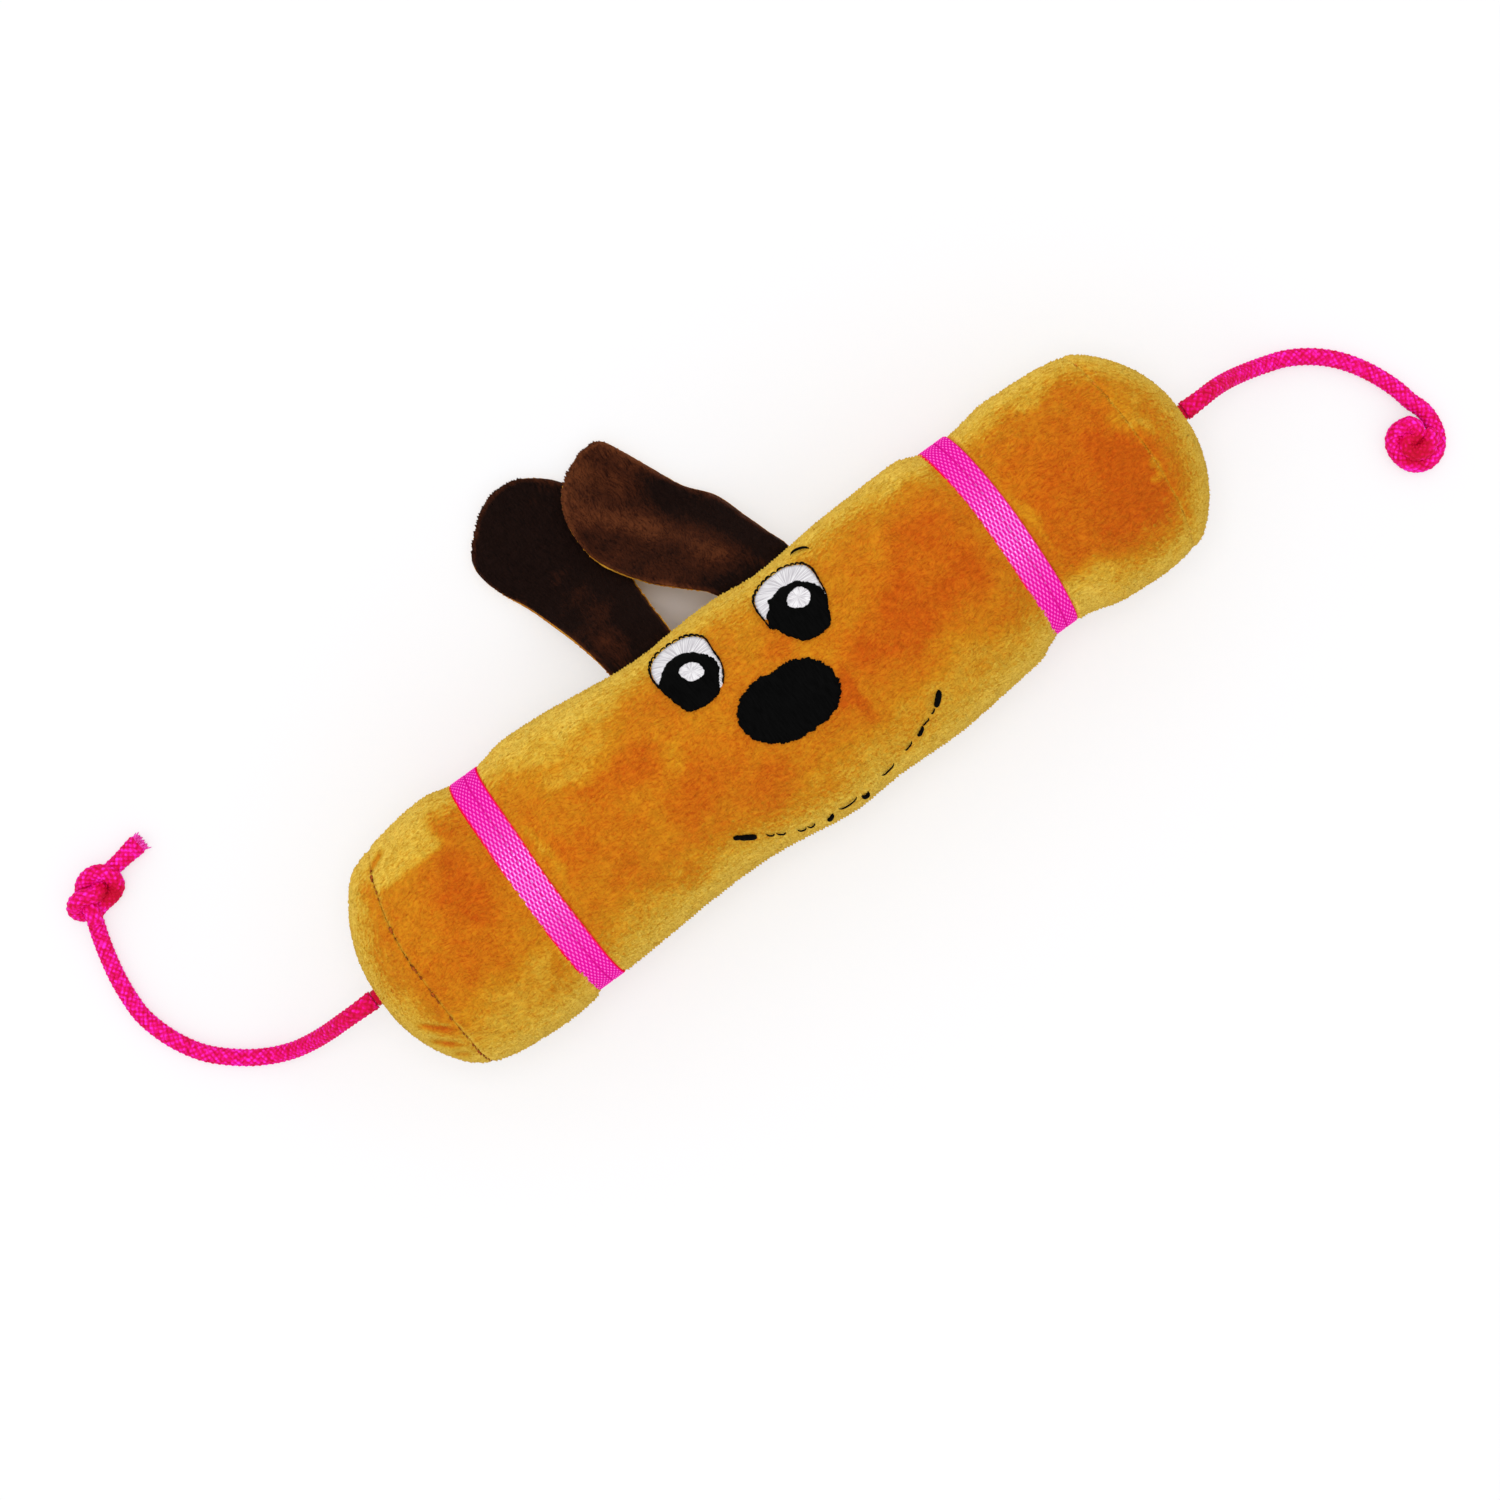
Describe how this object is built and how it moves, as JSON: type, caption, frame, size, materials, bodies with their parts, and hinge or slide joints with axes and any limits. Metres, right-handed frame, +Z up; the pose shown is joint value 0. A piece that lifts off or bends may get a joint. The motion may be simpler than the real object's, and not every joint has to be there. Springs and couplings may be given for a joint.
{
  "type": "plush dog toy",
  "caption": "Stuffed sausage-shaped plush dog toy lying on its back, with floppy ears, an embroidered face, webbing bands and a knotted cord through it.",
  "frame": {"origin": "on the rest face under the middle of the body, midway between the two cord holes", "axes": "+X along the body to the toy's end with the wider set band, +Y to the side that the ears lie on, +Z up out of the face"},
  "size_m": [0.4398, 0.1685, 0.0757],
  "materials": {
    "golden_plush": "short pile plush",
    "brown_plush": "short pile plush",
    "fibre_filling": "loose polyester fibre",
    "pink_webbing": "woven polypropylene webbing",
    "pink_cord": "braided polyester cord",
    "black_thread": "satin stitch embroidery",
    "white_thread": "satin stitch embroidery",
    "squeaker_plastic": "blow moulded polyethylene"
  },
  "bodies": {
    "root": {"body_tube": "golden_plush", "end_panel_left": "golden_plush", "end_panel_right": "golden_plush", "stuffing": "fibre_filling", "squeaker_bulb": "squeaker_plastic", "squeaker_reed": "squeaker_plastic", "cord_core": "pink_cord", "band_left": "pink_webbing", "band_right": "pink_webbing", "eye_left_white": "white_thread", "eye_left_iris": "black_thread", "eye_left_glint": "white_thread", "eye_right_white": "white_thread", "eye_right_iris": "black_thread", "eye_right_glint": "white_thread", "nose": "black_thread", "mouth": "black_thread", "brow_right": "black_thread", "cord_left": "pink_cord", "cord_right": "pink_cord", "knot_left": "pink_cord", "knot_right": "pink_cord"},
    "ear_left": {"ear_left_front": "brown_plush", "ear_left_back": "golden_plush"},
    "ear_right": {"ear_right_front": "brown_plush", "ear_right_back": "golden_plush"}
  },
  "joints": [
    {"name": "ear_left_flop", "type": "hinge", "parent": "root", "child": "ear_left", "pos_m": [-0.0247, 0.03885, 0.03096], "axis": [1, 0, 0], "range_deg": [0, 110]},
    {"name": "ear_right_flop", "type": "hinge", "parent": "root", "child": "ear_right", "pos_m": [0.0173, 0.03907, 0.03109], "axis": [1, 0, 0], "range_deg": [0, 110]}
  ]
}
